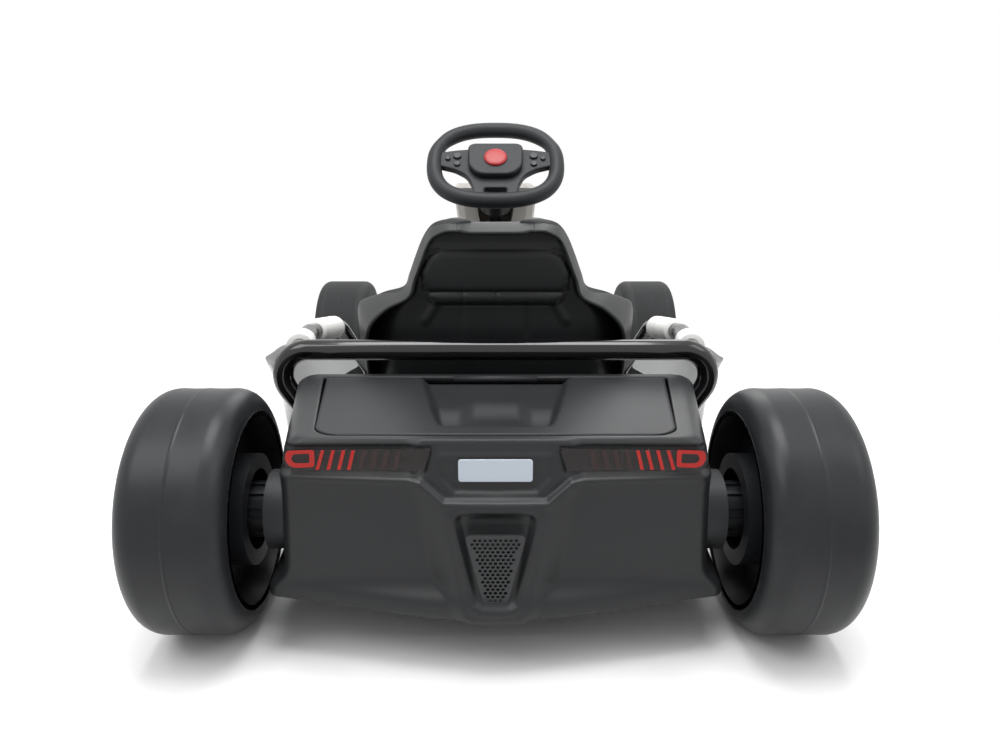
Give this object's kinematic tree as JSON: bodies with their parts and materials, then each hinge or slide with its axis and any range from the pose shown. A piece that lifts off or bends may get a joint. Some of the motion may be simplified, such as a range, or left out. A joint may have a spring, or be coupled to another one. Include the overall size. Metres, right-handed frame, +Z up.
{
  "type": "electric drift kart",
  "caption": "Kids' electric drift kart with a moulded body, bucket seat, rear tube hoop, hard rear slicks, steered front wheels and a hinged battery lid.",
  "frame": {"origin": "middle of the footprint, on the ground under the wheels", "axes": "+Y forwards, +Z up, +X to the right of a seated rider"},
  "size_m": [0.8, 1.26, 0.5895],
  "materials": {
    "frame_black": "satin black powder coat",
    "hoop_black": "gloss black powder coat",
    "foam_white": "white foam",
    "shell_black": "moulded charcoal plastic",
    "white_plastic": "white moulded plastic",
    "lens_smoke": "smoked red-black lens",
    "lamp_red": "red light guide",
    "grille_black": "black perforated plastic",
    "plate_white": "blank pale plate",
    "battery_grey": "battery pack",
    "gear_black": "glass-filled nylon housing",
    "steel": "zinc-plated steel",
    "lamp_clear": "clear lens over a bright reflector",
    "pedal_black": "ribbed black plastic",
    "wheel_grey": "slate grey moulded grip",
    "horn_red": "red push button",
    "slick_plastic": "hard plastic drift slick",
    "tyre_rubber": "matte rubber",
    "rim_black": "moulded rim",
    "cap_black": "hub cap"
  },
  "bodies": {
    "chassis": {"lower_frame": "frame_black", "rear_hoop": "hoop_black", "side_rails": "hoop_black", "foam_sleeves": "foam_white", "floor_pan": "shell_black", "side_fairing_left": "white_plastic", "side_fairing_right": "white_plastic", "rear_body": "shell_black", "tail_lens": "lens_smoke", "lamp_bars": "lamp_red", "speaker_grille": "grille_black", "plate": "plate_white", "battery": "battery_grey", "gearbox_left": "gear_black", "gearbox_right": "gear_black", "rear_axle": "steel", "seat_shell": "shell_black", "seat_runners": "frame_black", "nose_cowl": "white_plastic", "headlamps": "lamp_clear", "front_bumper": "hoop_black", "console": "white_plastic", "accelerator_pedal": "pedal_black", "brake_pedal": "pedal_black"},
    "steering": {"steering_wheel": "wheel_grey", "wheel_pad": "wheel_grey", "horn_button": "horn_red", "steering_shaft": "steel"},
    "knuckle_left": {"knuckle_left": "steel"},
    "knuckle_right": {"knuckle_right": "steel"},
    "tie_rod": {"tie_rod": "steel"},
    "lid": {"battery_lid": "shell_black"},
    "front_wheel_left": {"front_tyre_left": "tyre_rubber", "front_rim_left": "rim_black", "front_cap_left": "cap_black"},
    "front_wheel_right": {"front_tyre_right": "tyre_rubber", "front_rim_right": "rim_black", "front_cap_right": "cap_black"},
    "rear_wheel_left": {"rear_tyre_left": "slick_plastic", "rear_rim_left": "rim_black", "rear_cap_left": "cap_black"},
    "rear_wheel_right": {"rear_tyre_right": "slick_plastic", "rear_rim_right": "rim_black", "rear_cap_right": "cap_black"}
  },
  "joints": [
    {"name": "steering", "type": "hinge", "parent": "chassis", "child": "steering", "pos_m": [0, 0.34551, 0.20608], "axis": [0, -0.6561, 0.7547], "range_deg": [-28, 28]},
    {"name": "steer_left", "type": "hinge", "parent": "chassis", "child": "knuckle_left", "pos_m": [-0.235, 0.359, 0.131], "axis": [0, 0, 1], "range_deg": [-28, 28]},
    {"name": "steer_right", "type": "hinge", "parent": "chassis", "child": "knuckle_right", "pos_m": [0.235, 0.359, 0.131], "axis": [0, 0, 1], "range_deg": [-28, 28]},
    {"name": "tie_rod_pivot", "type": "hinge", "parent": "knuckle_left", "child": "tie_rod", "pos_m": [-0.235, 0.304, 0.17], "axis": [0, 0, 1], "range_deg": [-28, 28]},
    {"name": "lid_hinge", "type": "hinge", "parent": "chassis", "child": "lid", "pos_m": [0, -0.345, 0.262], "axis": [-1, 0, 0], "range_deg": [0, 75]},
    {"name": "front_spin_left", "type": "hinge", "parent": "knuckle_left", "child": "front_wheel_left", "pos_m": [-0.321, 0.359, 0.131], "axis": [1, 0, 0], "continuous": true},
    {"name": "rear_spin_left", "type": "hinge", "parent": "chassis", "child": "rear_wheel_left", "pos_m": [-0.341, -0.486, 0.144], "axis": [1, 0, 0], "continuous": true},
    {"name": "front_spin_right", "type": "hinge", "parent": "knuckle_right", "child": "front_wheel_right", "pos_m": [0.321, 0.359, 0.131], "axis": [1, 0, 0], "continuous": true},
    {"name": "rear_spin_right", "type": "hinge", "parent": "chassis", "child": "rear_wheel_right", "pos_m": [0.341, -0.486, 0.144], "axis": [1, 0, 0], "continuous": true}
  ],
  "couplings": [
    {"joint": "steer_left", "follows": "steering", "ratio": 1},
    {"joint": "steer_right", "follows": "steering", "ratio": 1},
    {"joint": "tie_rod_pivot", "follows": "steering", "ratio": -1}
  ]
}
